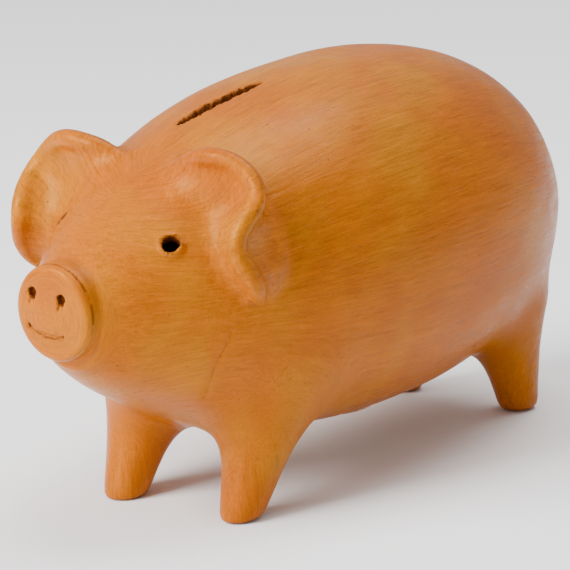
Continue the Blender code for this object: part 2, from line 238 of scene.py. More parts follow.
def snout(p):
    """The snout's face pad on the collar of clay that was smeared round it."""
    pad = disc(p, SNOUT_RADIUS - 0.0007, SNOUT_FACE, 0.0019, 0.0007)
    collar = disc(p, SNOUT_RADIUS - 0.0005, SNOUT_FACE + 0.0034, 0.0014, 0.0)
    d = smooth_min(pad, collar, 0.0007)
    x = p[:, 0] - SNOUT_CENTRE.x
    z = p[:, 2] - SNOUT_CENTRE.z
    turn = np.arctan2(z, x)
    open_part = np.clip(1.3 - np.abs(turn - 0.9), 0, 1)
    ragged = 0.00012 * np.sin(23 * turn) + 0.00010 * np.sin(57 * turn + 1.0)
    ring = np.hypot(np.hypot(x, z) - (SNOUT_RADIUS - 0.0003), p[:, 1] - (SNOUT_FACE + 0.0031))
    return smooth_max(d, (0.00050 + ragged) * open_part - ring, 0.0003)


def smooth_line(points, position):
    """Point at position 0 to 1 on a Catmull-Rom line through the points."""
    spans = len(points) - 1
    index = min(int(position * spans), spans - 1)
    t = position * spans - index
    p1 = Vector(points[index])
    p2 = Vector(points[index + 1])
    p0 = Vector(points[index - 1]) if index > 0 else p1 * 2 - p2
    p3 = Vector(points[index + 2]) if index + 2 <= spans else p2 * 2 - p1
    a = p1 * 3 - p0 - p2 * 3 + p3
    b = p0 * 2 - p1 * 5 + p2 * 4 - p3
    return (a * t**3 + b * t**2 + (p2 - p0) * t + p1 * 2) / 2


EAR_COLUMNS = 84
EAR_ROWS = 18
EAR_REACH = 0.030
EAR_CENTRE = np.array((0.034, -0.0610, 0.0960))
EAR_RIM_HALF = 0.0026
EAR_SHEET_HALF = 0.0019
EAR_LIP_HALF = 0.0017
EAR_ROOT_HALF = 0.0032
BACKWARD = Vector((-0.25, 0.95, -0.15))


def sheet(sides, far_half, cup):
    """Verts, faces and face half thicknesses of a sheet from a line to the rim, cupped backward."""
    verts = []
    halves = []
    for i in range(EAR_COLUMNS + 1):
        along = i / EAR_COLUMNS
        rim = smooth_line(EAR_RIM, along)
        start = sides(along)
        fade = min(min(along, 1 - along) / 0.12, 1.0) ** 0.5
        for j in range(EAR_ROWS + 1):
            up = j / EAR_ROWS
            hollow = cup * math.sin(math.pi * up) ** 0.85 * math.sin(math.pi * along) ** 0.5
            hollow *= 0.55 + 0.45 * min(along / 0.5, 1.0)
            verts.append(start.lerp(rim, up) + BACKWARD * hollow)
            half = far_half + (EAR_SHEET_HALF - far_half) * min(up / 0.4, 1.0)
            half += (EAR_RIM_HALF - EAR_SHEET_HALF) * max(0.0, (up - 0.75) / 0.25) ** 2
            halves.append(half * (0.6 + 0.4 * fade))
    row = EAR_ROWS + 1
    faces = []
    for i in range(EAR_COLUMNS):
        for j in range(EAR_ROWS):
            a = i * row + j
            faces.append((a, a + 1, a + row + 1, a + row))
    return verts, faces, [sum(halves[k] for k in face) / 4 for face in faces]


def lip(along):
    """A point on the dish's front lip, at its rise over the egg's surface."""
    place = smooth_line(EAR_FRONT, along)
    step = 1e-4
    here = np.array([place] * 4)
    for axis in range(3):
        here[axis + 1, axis] += step
    level = egg(here)
    normal = Vector((level[1:] - level[0]) / step).normalized()
    spans = len(EAR_FRONT_RISE) - 1
    rise = float(np.interp(along * spans, np.arange(spans + 1), EAR_FRONT_RISE))
    return place + normal * (rise - level[0] - EAR_LIP_HALF)


def back_root(along):
    return smooth_line(EAR_BACK, along)


def between(along):
    return lip(along).lerp(back_root(along), 0.5)


def search_tree(sheets):
    """Sheets joined into one tree for nearest-point searches, with their half thicknesses."""
    verts = []
    faces = []
    halves = []
    for sheet_verts, sheet_faces, sheet_halves in sheets:
        start = len(verts)
        verts += sheet_verts
        faces += [tuple(start + k for k in face) for face in sheet_faces]
        halves += sheet_halves
    return BVHTree.FromPolygons(verts, faces), np.array(halves)


EAR_DISH = search_tree([sheet(lip, EAR_LIP_HALF, 0.0030)])
EAR_BODY = search_tree(
    [sheet(between, EAR_ROOT_HALF, 0.0022), sheet(back_root, EAR_ROOT_HALF, -0.0004)]
)


def sheet_distance(p, tree_and_halves):
    """Distance to a thick sheet, or EAR_REACH for a point far from the left ear."""
    tree, halves = tree_and_halves
    d = np.full(len(p), EAR_REACH)
    near = np.flatnonzero(np.linalg.norm(p - EAR_CENTRE, axis=1) < EAR_REACH + 0.004)
    for i in near:
        _, _, face, distance = tree.find_nearest(p[i])
        d[i] = distance - halves[face]
    return d


def ear(p):
    """Distance to the left ear; far away it is only a bound."""
    return np.minimum(sheet_distance(p, EAR_DISH), sheet_distance(p, EAR_BODY))


def value_noise(x, seed):
    """Smooth one-dimensional noise from -1 to 1."""
    cell = np.floor(x)
    t = x - cell
    t = t * t * (3 - 2 * t)

    def lattice(i):
        h = np.sin(i * 127.1 + seed * 311.7) * 43758.5453
        return 2 * (h - np.floor(h)) - 1

    return lattice(cell) * (1 - t) + lattice(cell + 1) * t


def hand_marks(p):
    """Shallow unevenness left by hands and the burnishing stone."""
    x, y, z = p[:, 0], p[:, 1], p[:, 2]
    slow = np.sin(61 * x + 33 * y + 1.3) * np.sin(47 * z - 38 * y + 0.4)
    mid = np.sin(143 * x - 61 * z + 2.1) * np.sin(97 * y + 120 * z + 0.9)
    fine = np.sin(310 * x + 170 * z) * np.sin(260 * y - 210 * z + 1.7)
    return 0.00030 * slow + 0.00012 * mid + 0.00004 * fine


def slot(p):
    """The coin slot, cut askew: pointed ends, one clean side, one torn side."""
    dx = p[:, 0] - SLOT_CENTRE[0]
    dy = p[:, 1] - SLOT_CENTRE[1]
    z = p[:, 2]
    u = dx * math.sin(SLOT_TURN) + dy * math.cos(SLOT_TURN)
    v = dx * math.cos(SLOT_TURN) - dy * math.sin(SLOT_TURN)
    t = np.clip(u / SLOT_HALF_LENGTH, -1, 1)
    clean_side = SLOT_HALF_WIDTH * (1 - np.abs(t) ** 6) ** 0.7 - 0.0004 * t
    torn_side = SLOT_HALF_WIDTH * (1 - np.abs(t) ** 3.2) ** 0.8 * (1 - 0.12 * t)
    torn_side = torn_side + value_noise(u * 620, 1) * 0.00050 + value_noise(u * 1300 + z * 700, 2) * 0.00038
    deep = np.clip((0.1205 + 0.17 * (u + 0.008) - z) / 0.004, 0, 1)
    torn_side = torn_side - deep * 0.0004 * (1 + value_noise(u * 900 + z * 1100, 5))
    clean_side = clean_side + value_noise(u * 240, 3) * 0.00010
    sides = np.maximum(-v - torn_side, v - clean_side)
    ends = np.abs(u) - SLOT_HALF_LENGTH
    return np.maximum(np.maximum(sides, ends), 0.100 - z)


def through_hole(p, centre, radius):
    """A hole pushed through the wall toward the axis, and the burr raised round its mouth."""
    centre = np.array(centre)
    axis = np.array(HOLE_AIM) - centre
    axis /= np.linalg.norm(axis)
    q = p - centre
    along = q @ axis
    side = q - along[:, None] * axis
    r = np.linalg.norm(side, axis=1)
    turn = np.arctan2(side[:, 2], side[:, 1])
    wobble = 0.00022 * np.sin(2 * turn + 0.7) + 0.00014 * np.sin(3 * turn + 2.0) + 0.00008 * np.sin(7 * turn)
    hole = np.maximum(r - radius - wobble, np.abs(along) - 0.012)
    burr_size = 0.00050 - 0.00030 * np.sin(turn)
    burr = np.hypot(r - radius - 0.0006, along + 0.0001) - burr_size
    return hole, burr


def nostril(p, x, z):
    """A blind poked hole with a torn drag mark below it."""
    dx = p[:, 0] - x
    dz = p[:, 2] - z
    turn = np.arctan2(dz, dx)
    r = np.hypot(dx, dz * 0.92)
    wobble = 0.00012 * np.sin(3 * turn + 40 * x) + 0.00008 * np.sin(5 * turn + 1)
    depth = p[:, 1] - (SNOUT_FACE + 0.0026)
    hole = smooth_max(r - 0.00170 - wobble, depth, 0.0008)
    drag_side = (dx + 0.0009 - 0.4 * (dz + 0.0018)) * 1.3
    drag_end = np.maximum(np.abs(dz + 0.0019) - 0.0011, 0.0)
    drag = np.hypot(drag_side, drag_end) - 0.0004
    return smooth_min(hole, np.maximum(drag, p[:, 1] - SNOUT_FACE - 0.0007), 0.0004)


MOUTH_X = -0.0035
MOUTH_HALF = 0.0068
MOUTH_Z = 0.0663


def mouth_height(t):
    return MOUTH_Z - 0.0010 * t + 0.0018 * t * t


def smile(p):
    """A scored curve with a poked dot at each end, and a second scratch along its upper lip."""
    x, y, z = p[:, 0], p[:, 1], p[:, 2]
    face = SNOUT_FACE + 0.0002
    t = np.clip((x - MOUTH_X) / MOUTH_HALF, -1, 1)
    over = np.maximum(np.abs(x - MOUTH_X) - MOUTH_HALF, 0.0)
    wander = 0.00010 * np.sin(1900 * x) + 0.00006 * np.sin(4300 * x + 1)
    line = np.sqrt(over**2 + (z - mouth_height(t) - wander) ** 2 + (y - face) ** 2) - 0.00050
    lip_t = np.clip(t, -0.35, 0.8)
    lip_x = MOUTH_X + lip_t * MOUTH_HALF
    upper = np.sqrt((x - lip_x) ** 2 + (z - mouth_height(lip_t) - 0.0011 - wander) ** 2 + (y - face) ** 2)
    d = np.minimum(line, upper - 0.00030)
    for end, radius in ((-1, 0.00078), (1, 0.00055)):
        dot_x = MOUTH_X + end * MOUTH_HALF
        dot_z = mouth_height(end)
        dot = np.sqrt((x - dot_x) ** 2 + (z - dot_z) ** 2 + ((y - face) * 0.6) ** 2) - radius
        d = np.minimum(d, dot)
    return d


CREASE = (
    (0.0372, -0.0672, 0.0655),
    (0.0356, -0.0681, 0.0612),
    (0.0317, -0.0702, 0.0540),
    (0.0276, -0.0689, 0.0466),
    (0.0235, -0.0670, 0.0420),
)
EAR_SEAM = (
    (0.0388, -0.0470, 0.0959),
    (0.0416, -0.0476, 0.0902),
    (0.0430, -0.0485, 0.0860),
    (0.0439, -0.0496, 0.0814),
    (0.0443, -0.0509, 0.0762),
)
CREASE_DEPTH = 0.00030
SEAM_HEIGHT = 0.00032


def line_mark(p, points, width):
    """A soft mark, from 0 to 1, along a line over the skin."""
    low = np.min(points, axis=0) - 4 * width
    high = np.max(points, axis=0) + 4 * width

    def nearest(q):
        return np.minimum.reduce([capsule(q, a, b, 0.0) for a, b in zip(points, points[1:])])

    return np.exp(-((only_near(p, low, high, nearest, 8 * width) / width) ** 2))


TAIL_HEIGHT = 0.0800
TAIL_CURL = 0.0058
TAIL_THICKNESS = 0.0024
TAIL_TURNS = 1.15
TAIL_LINKS = 44


def tail_coil(p):
    """A little coil curled flat on the rump."""
    depth = TAIL_HIGH.y - SHIFT.y - TAIL_THICKNESS
    d = np.full(len(p), 1.0)
    previous = None
    for i in range(TAIL_LINKS + 1):
        along = i / TAIL_LINKS
        angle = 2 * math.pi * TAIL_TURNS * along - math.pi / 2
        reach = TAIL_CURL * (1 - 0.55 * along)
        radius = TAIL_THICKNESS * (1 - 0.45 * along)
        point = (
            reach * math.cos(angle),
            depth - 0.0006 * (1 - along),
            TAIL_HEIGHT + reach * math.sin(angle),
        )
        if previous is not None:
            a, ra = previous
            d = smooth_min(d, capsule(p, a, point, (ra + radius) / 2), 0.0004)
        previous = (point, radius)
    return d


def capsule(p, a, b, radius):
    a = np.array(a)
    ba = np.array(b) - a
    t = np.clip((p - a) @ ba / (ba @ ba), 0, 1)
    return np.linalg.norm(p - a - t[:, None] * ba, axis=1) - radius


def only_near(p, low, high, distance, far):
    """Evaluate a distance only for points inside a box."""
    d = np.full(len(p), far)
    near = np.all((p > np.array(low)) & (p < np.array(high)), axis=1)
    if near.any():
        d[near] = distance(p[near])
    return d


def mirrored(p):
    return p * np.array((-1.0, 1.0, 1.0))


def stopper_hole(p):
    """The tapered belly hole, a little wider than the cork."""
    centre = (STOPPER_LOW + STOPPER_HIGH) / 2 - SHIFT
    r = np.hypot(p[:, 0] - centre.x, p[:, 1] - centre.y)
    half = (STOPPER_HIGH.x - STOPPER_LOW.x) / 2
    length = STOPPER_HIGH.z - STOPPER_LOW.z
    wall = half + 0.0003 - 0.0016 * (p[:, 2] - STOPPER_LOW.z) / length
    return np.maximum(r - wall, p[:, 2] - 0.040)


def pig(p):
    """Signed distance to the fired clay, negative inside it."""
    shell = egg(p)
    d = shell
    for name in LEGS:
        sign = 1 if name.endswith("left") else -1
        rear = "rear" in name
        low = (-0.002 if sign > 0 else -0.064, 0.030 if rear else -0.100, -0.01)
        high = (0.064 if sign > 0 else 0.002, 0.130 if rear else 0.010, 0.085)
        d = smooth_min(d, only_near(p, low, high, lambda q, n=name: leg(q, n), 1.0), LEG_BLEND)
    for side in (1, -1):
        low = (-0.002, -0.100, 0.050) if side > 0 else (-0.070, -0.100, 0.050)
        high = (0.070, -0.020, 0.135) if side > 0 else (0.002, -0.020, 0.135)
        turn = (lambda q: q) if side > 0 else mirrored
        near = np.all((p > low) & (p < high), axis=1) & (shell < 0.026) & (shell > -0.005)
        if near.any():
            q = turn(p[near])
            part = smooth_min(d[near], sheet_distance(q, EAR_BODY), 0.0055)
            d[near] = smooth_min(part, sheet_distance(q, EAR_DISH), 0.0035)
    d = d + hand_marks(p)
    d = smooth_min(d, only_near(p, (-0.03, -0.12, 0.04), (0.03, -0.08, 0.11), snout, 1.0), 0.0016)
    tail_box = ((-0.02, 0.095, 0.06), (0.02, 0.13, 0.10))
    d = smooth_min(d, only_near(p, *tail_box, tail_coil, 1.0), 0.0030)
    for centre, radius in EYES:
        low = np.array(centre) - 0.014
        high = np.array(centre) + 0.014
        near = np.all((p > low) & (p < high), axis=1)
        if near.any():
            hole, burr = through_hole(p[near], centre, radius)
            d[near] = smooth_max(smooth_min(d[near], burr, 0.0016), -hole, 0.0006)
    d = d + CREASE_DEPTH * line_mark(p, CREASE, 0.0008)
    d = d - SEAM_HEIGHT * line_mark(p, EAR_SEAM, 0.0009)
    face_box = ((-0.015, -0.115, 0.055), (0.010, -0.095, 0.086))
    for x, z in NOSTRILS:
        d = smooth_max(d, -only_near(p, *face_box, lambda q, x=x, z=z: nostril(q, x, z), 0.01), 0.0004)
    d = smooth_max(d, -only_near(p, *face_box, smile, 0.01), 0.0003)
    slot_box = ((-0.012, -0.050, 0.095), (0.012, 0.000, 0.140))
    d = smooth_max(d, -only_near(p, *slot_box, slot, 0.01), 0.0004)
    belly_box = ((-0.025, -0.010, 0.0), (0.025, 0.045, 0.045))
    d = smooth_max(d, -only_near(p, *belly_box, stopper_hole, 0.01), 0.0006)
    d = smooth_max(d, FOOT_PLANE - p[:, 2], 0.0006)
    station = egg_frame(p)[0]
    cavity = np.maximum(shell + WALL, CAVITY_FRONT - station)
    return np.maximum(d, -cavity)


# --- Meshing ---


def steps(*spans):
    """Grid lines from a start, then (end, spacing) for each span after it."""
    lines = [spans[0]]
    for end, spacing in spans[1:]:
        start = lines[-1]
        count = max(1, round((end - start) / spacing))
        lines += [start + (end - start) * i / count for i in range(1, count + 1)]
    return np.array(lines)


def grid_lines():
    """Lines close together through the face and the slot, and wide apart over the plain egg."""
    plain = 0.0020
    face = 0.00062
    inner = 0.0009
    sides = ((0.0280, inner), (0.0605, plain))
    xs = steps(-0.0605, (-0.0280, plain), (-0.0135, inner), (0.0135, face), *sides)
    rump = ((0.1080, 0.0030), (0.1215, 0.0012))
    ys = steps(-0.1085, (-0.0955, 0.0006), (-0.0440, 0.00095), (-0.0070, 0.00084), *rump)
    back = ((0.1000, 0.00095), (0.1340, 0.0014))
    zs = steps(-0.0030, (0.0600, plain), (0.0665, inner), (0.0850, face), *back)
    return xs, ys, zs


def sample(xs, ys, zs):
    """The pig's distance at each crossing of the grid's lines."""
    shape = (len(xs), len(ys), len(zs))
    field = np.empty(shape)
    for i, x in enumerate(xs):
        yy, zz = np.meshgrid(ys, zs, indexing="ij")
        p = np.stack([np.full(yy.size, x), yy.ravel(), zz.ravel()], axis=1)
        field[i] = pig(p).reshape(shape[1:])
    return field


def neighbours(axis, others):
    """Indices of the grid's points, and of the next point along an axis from each."""
    here = [others] * 3
    following = [others] * 3
    here[axis] = slice(0, -1)
    following[axis] = slice(1, None)
    return tuple(here), tuple(following)


def surface_nets(xs, ys, zs, field):
    """Quads round the zero surface of a field, one vertex for each grid cell it crosses."""
    inside = field < 0
    shape = tuple(n - 1 for n in field.shape)
    total = np.zeros(shape + (3,))
    count = np.zeros(shape)
    lines = (xs, ys, zs)
    for axis in range(3):
        here, following = neighbours(axis, slice(None))
        a = field[here]
        b = field[following]
        crossed = inside[here] != inside[following]
        safe = np.where(crossed, a - b, 1.0)
        t = np.where(crossed, a / safe, 0.0)
        places = [None] * 3
        for k in range(3):
            values = lines[k]
            form = [1, 1, 1]
            form[k] = -1
            if k == axis:
                low = values[:-1].reshape(form)
                gap = np.diff(values).reshape(form)
                places[k] = low + gap * t
            else:
                places[k] = np.broadcast_to(values.reshape(form), t.shape)
        others = [k for k in range(3) if k != axis]
        for du in (0, 1):
            for dv in (0, 1):
                cut = [slice(None)] * 3
                cut[others[0]] = slice(du, du + shape[others[0]])
                cut[others[1]] = slice(dv, dv + shape[others[1]])
                cut = tuple(cut)
                mask = crossed[cut]
                count += mask
                for k in range(3):
                    total[..., k] += np.where(mask, places[k][cut], 0.0)
    active = count > 0
    index = np.full(shape, -1)
    index[active] = np.arange(active.sum())
    verts = total[active] / count[active][:, None]
    quads = []
    for axis in range(3):
        here, following = neighbours(axis, slice(1, -1))
        a = inside[here]
        b = inside[following]
        u, v = [k for k in range(3) if k != axis]
        where = np.argwhere(a != b)
        base = where.copy()
        base[:, u] += 1
        base[:, v] += 1
        ring = []
        for du, dv in ((-1, -1), (0, -1), (0, 0), (-1, 0)):
            cell = base.copy()
            cell[:, u] += du
            cell[:, v] += dv
            ring.append(index[cell[:, 0], cell[:, 1], cell[:, 2]])
        ring = np.stack(ring, axis=1)
        flip = a[a != b] == (axis == 1)
        ring[flip] = ring[flip][:, ::-1]
        quads.append(ring)
    return verts, np.concatenate(quads)


def gradient(p, step=0.00025):
    g = np.empty_like(p)
    for k in range(3):
        offset = np.zeros(3)
        offset[k] = step
        g[:, k] = (pig(p + offset) - pig(p - offset)) / (2 * step)
    return g


def settle(verts, rounds=2):
    """Move each vertex onto the surface."""
    for _ in range(rounds):
        g = gradient(verts)
        size = np.maximum((g**2).sum(1), 0.05)
        move = -(pig(verts) / size)[:, None] * g
        length = np.linalg.norm(move, axis=1)
        limit = np.minimum(1.0, 0.0008 / np.maximum(length, 1e-9))
        verts = verts + move * limit[:, None]
    return verts


def triangles(verts, quads):
    """Split each quad along its shorter diagonal."""
    a, b, c, d = (verts[quads[:, k]] for k in range(4))
    first = np.linalg.norm(a - c, axis=1) <= np.linalg.norm(b - d, axis=1)
    one = np.where(first[:, None], quads[:, [0, 1, 2]], quads[:, [0, 1, 3]])
    two = np.where(first[:, None], quads[:, [0, 2, 3]], quads[:, [1, 2, 3]])
    return np.concatenate([one, two])


def vertex_normals(verts, tris):
    a, b, c = (verts[tris[:, k]] for k in range(3))
    face = np.cross(b - a, c - a)
    normals = np.zeros_like(verts)
    for k in range(3):
        for axis in range(3):
            normals[:, axis] += np.bincount(tris[:, k], face[:, axis], len(verts))
    return normals / np.maximum(np.linalg.norm(normals, axis=1), 1e-12)[:, None]


class Skin:
    """Triangles with per-vertex data: columns 0-2 place, 3-5 normal, then the masks."""

    def __init__(self, data, tris, caps=None):
        self.data = data
        self.tris = tris
        self.caps = np.zeros(len(tris), bool) if caps is None else caps


CUT_MARGIN = 4e-5
EAR_CUT = 0.0022
LEG_CUT = 0.0035
TAIL_CUT = 0.0012


def split(skin, value):
    """Cut a skin where value changes sign: (negative side, positive side)."""
    value = np.where(np.abs(value) < CUT_MARGIN, np.where(value < 0, -CUT_MARGIN, CUT_MARGIN), value)
    tris = skin.tris
    negative = value[tris] < 0
    count = negative.sum(1)
    sides = {-1: [tris[count == 3]], 1: [tris[count == 0]]}
    caps = {-1: [skin.caps[count == 3]], 1: [skin.caps[count == 0]]}
    mixed = np.flatnonzero((count == 1) | (count == 2))
    crossed = tris[mixed]
    lone_is_negative = count[mixed] == 1
    lone = np.argmax(negative[mixed] == lone_is_negative[:, None], axis=1)
    order = (lone[:, None] + np.arange(3)) % 3
    crossed = np.take_along_axis(crossed, order, axis=1)
    ends = np.concatenate([crossed[:, [0, 1]], crossed[:, [0, 2]]])
    ends = np.sort(ends, axis=1)
    unique, inverse = np.unique(ends, axis=0, return_inverse=True)
    inverse = inverse.reshape(-1)
    va = value[unique[:, 0]]
    vb = value[unique[:, 1]]
    t = (va / (va - vb))[:, None]
    new = skin.data[unique[:, 0]] * (1 - t) + skin.data[unique[:, 1]] * t
    new[:, 3:6] /= np.linalg.norm(new[:, 3:6], axis=1)[:, None]
    data = np.concatenate([skin.data, new])
    start = len(skin.data)
    half = len(crossed)
    p = start + inverse[:half]
    q = start + inverse[half:]
    tip = np.stack([crossed[:, 0], p, q], axis=1)
    base1 = np.stack([p, crossed[:, 1], crossed[:, 2]], axis=1)
    base2 = np.stack([p, crossed[:, 2], q], axis=1)
    for sign, is_lone in ((-1, lone_is_negative), (1, ~lone_is_negative)):
        sides[sign] += [tip[is_lone], base1[~is_lone], base2[~is_lone]]
        flags = skin.caps[mixed]
        caps[sign] += [flags[is_lone], flags[~is_lone], flags[~is_lone]]
    return tuple(Skin(data, np.concatenate(sides[s]), np.concatenate(caps[s])) for s in (-1, 1))


def largest(skin):
    """Sort a skin's connected parts: (the largest, everything else)."""
    tris = skin.tris
    parent = np.arange(len(skin.data))
    while True:
        low = np.minimum.reduce([parent[tris[:, 0]], parent[tris[:, 1]], parent[tris[:, 2]]])
        new = parent.copy()
        for k in range(3):
            np.minimum.at(new, tris[:, k], low)
        new = new[new]
        new = new[new]
        if np.array_equal(new, parent):
            break
        parent = new
    label = parent[tris[:, 0]]
    names, counts = np.unique(label, return_counts=True)
    main = label == names[np.argmax(counts)]
    rest = Skin(skin.data, tris[~main], skin.caps[~main])
    return Skin(skin.data, tris[main], skin.caps[main]), rest


def open_edges(skin):
    """Directed edges that no neighbouring triangle shares."""
    tris = skin.tris
    edges = np.concatenate([tris[:, [0, 1]], tris[:, [1, 2]], tris[:, [2, 0]]])
    size = len(skin.data)
    forward = edges[:, 0] * size + edges[:, 1]
    backward = edges[:, 1] * size + edges[:, 0]
    return edges[~np.isin(forward, backward)]


def cap(skin):
    """Triangles that close a skin's open edge, laid out in the edge's own flattest plane."""
    edges = open_edges(skin)
    used, local = np.unique(edges, return_inverse=True)
    local = local.reshape(-1, 2)
    places = skin.data[used, :3]
    axes = np.linalg.svd(places - places.mean(0), full_matrices=False)[2]
    scaled = places @ axes[:2].T * 1000
    result = geometry.delaunay_2d_cdt(
        [Vector(row) for row in scaled], [tuple(map(int, e)) for e in local], [], 0, 1e-7
    )
    if len(result[0]) != len(used):
        raise RuntimeError(f"the cap has {len(result[0])} points for {len(used)} on its edge")
    origin = np.array([group[0] for group in result[3]])
    faces = np.array([[origin[k] for k in face] for face in result[2]])
    centre = scaled[faces].mean(1)
    a = scaled[local[:, 0]]
    b = scaled[local[:, 1]]
    inside = np.zeros(len(faces), bool)
    for start, end in zip(a, b):
        spans = (start[1] > centre[:, 1]) != (end[1] > centre[:, 1])
        rise = end[1] - start[1]
        x = start[0] + (centre[:, 1] - start[1]) * (end[0] - start[0]) / (rise if rise else 1.0)
        inside ^= spans & (centre[:, 0] < x)
    faces = used[faces[inside]]
    size = len(skin.data)
    have = set((edges[:, 1] * size + edges[:, 0]).tolist())
    ring = np.concatenate([faces[:, [0, 1]], faces[:, [1, 2]], faces[:, [2, 0]]])
    hits = sum(1 for key in (ring[:, 0] * size + ring[:, 1]).tolist() if key in have)
    return faces if hits * 2 > len(edges) else faces[:, ::-1]


def closed(skin, faces):
    """The skin with cap triangles added."""
    tris = np.concatenate([skin.tris, faces])
    caps = np.concatenate([skin.caps, np.ones(len(faces), bool)])
    return Skin(skin.data, tris, caps)


MASKS = ("ear", "raw", "hollow", "brush_x", "brush_y", "brush_z")
HOLLOW_REACH = 0.0022


def masks(p, normals):
    """Where the clay looks different, how hollow it is there (for painted shade in creases and painted
    highlights on convex edges), and which way it was burnished.
    """
    shell = egg(p)
    legs = np.full(len(p), 1.0)
    for name in LEGS:
        legs = np.minimum(legs, leg(p, name))
    ears = np.minimum(ear(p), ear(mirrored(p)))
    leg_mask = np.clip(1 - legs / 0.014, 0, 1)
    ear_mask = np.clip(1 - ears / 0.016, 0, 1)
    holes = np.full(len(p), 1.0)
    for centre, radius in EYES:
        holes = np.minimum(holes, through_hole(p, centre, radius)[0])
    for x, z in NOSTRILS:
        holes = np.minimum(holes, nostril(p, x, z))
    holes = np.minimum(holes, smile(p))
    holes = np.minimum(holes, slot(p))
    holes = np.minimum(holes, stopper_hole(p))
    sunk = np.clip((-shell - 0.0004) / 0.0012, 0, 1)
    cut = np.clip(1 - holes / 0.0004, 0, 1)
    station, ring_x, ring_z = egg_frame(p)
    face = np.clip((SNOUT_BACK - p[:, 1]) / 0.001 + 0.5, 0, 1)
    pitted = np.clip((SNOUT_FACE + 0.00035 - p[:, 1]) / -0.0003, 0, 1) * (holes < 0.0002)
    raw = np.maximum(np.clip(sunk - face, 0, 1), cut * np.maximum(sunk, pitted))
    # The hollow value drives painted shade where the skin curves in and a painted highlight where it curves
    # out.
    hollow = np.clip((HOLLOW_REACH - pig(p + normals * HOLLOW_REACH)) / HOLLOW_REACH, -1, 1)
    ring = np.hypot(ring_x, ring_z)
    turn = np.arctan2(ring_z, np.abs(ring_x))
    around = np.stack([0.050 * turn, 0.05 * station, 0.12 * p[:, 0]], axis=1)
    level = np.stack([ring_z, 0.05 * station, 0.35 * p[:, 0]], axis=1)
    wide = np.clip((ring - 0.022) / 0.024, 0, 1)[:, None]
    around = level + (around - level) * wide**2 * (3 - 2 * wide)
    down = np.stack([p[:, 0], p[:, 1], 0.05 * p[:, 2]], axis=1)
    dx = p[:, 0] - SNOUT_CENTRE.x
    dz = p[:, 2] - SNOUT_CENTRE.z
    turned = np.stack([np.hypot(dx, dz), 0.0006 * np.arctan2(dz, dx), 0.05 * p[:, 1]], axis=1)
    down_leg = (leg_mask * np.clip(shell / 0.010, 0, 1))[:, None]
    brush = around * (1 - down_leg) + down * down_leg
    brush = brush * (1 - face[:, None]) + turned * face[:, None]
    return np.column_stack([ear_mask, raw, hollow, brush])


def build_object(name, skin, material):
    """A closed piece with shared shading across its joins."""
    used, tris = np.unique(skin.tris, return_inverse=True)
    tris = tris.reshape(-1, 3)
    data = skin.data[used]
    mesh = bpy.data.meshes.new(name)
    mesh.vertices.add(len(data))
    mesh.loops.add(tris.size)
    mesh.polygons.add(len(tris))
    places = data[:, :3] + np.array(SHIFT)
    mesh.vertices.foreach_set("co", places.astype(np.float32).ravel())
    mesh.loops.foreach_set("vertex_index", tris.astype(np.int32).ravel())
    mesh.polygons.foreach_set("loop_start", np.arange(0, tris.size, 3, dtype=np.int32))
    mesh.polygons.foreach_set("use_smooth", np.ones(len(tris), bool))
    mesh.update(calc_edges=True)
    for column, mask in enumerate(MASKS):
        layer = mesh.attributes.new(mask, "FLOAT", "POINT")
        layer.data.foreach_set("value", data[:, 6 + column].astype(np.float32))
    normals = data[:, 3:6][tris]
    a, b, c = (data[tris[:, k], :3] for k in range(3))
    flat = np.cross(b - a, c - a)
    flat /= np.maximum(np.linalg.norm(flat, axis=1), 1e-12)[:, None]
    normals[skin.caps] = flat[skin.caps][:, None, :]
    mesh.normals_split_custom_set(normals.reshape(-1, 3))
    mesh.validate()
    obj = bpy.data.objects.new(name, mesh)
    bpy.context.scene.collection.objects.link(obj)
    mesh.materials.append(material)
    return obj


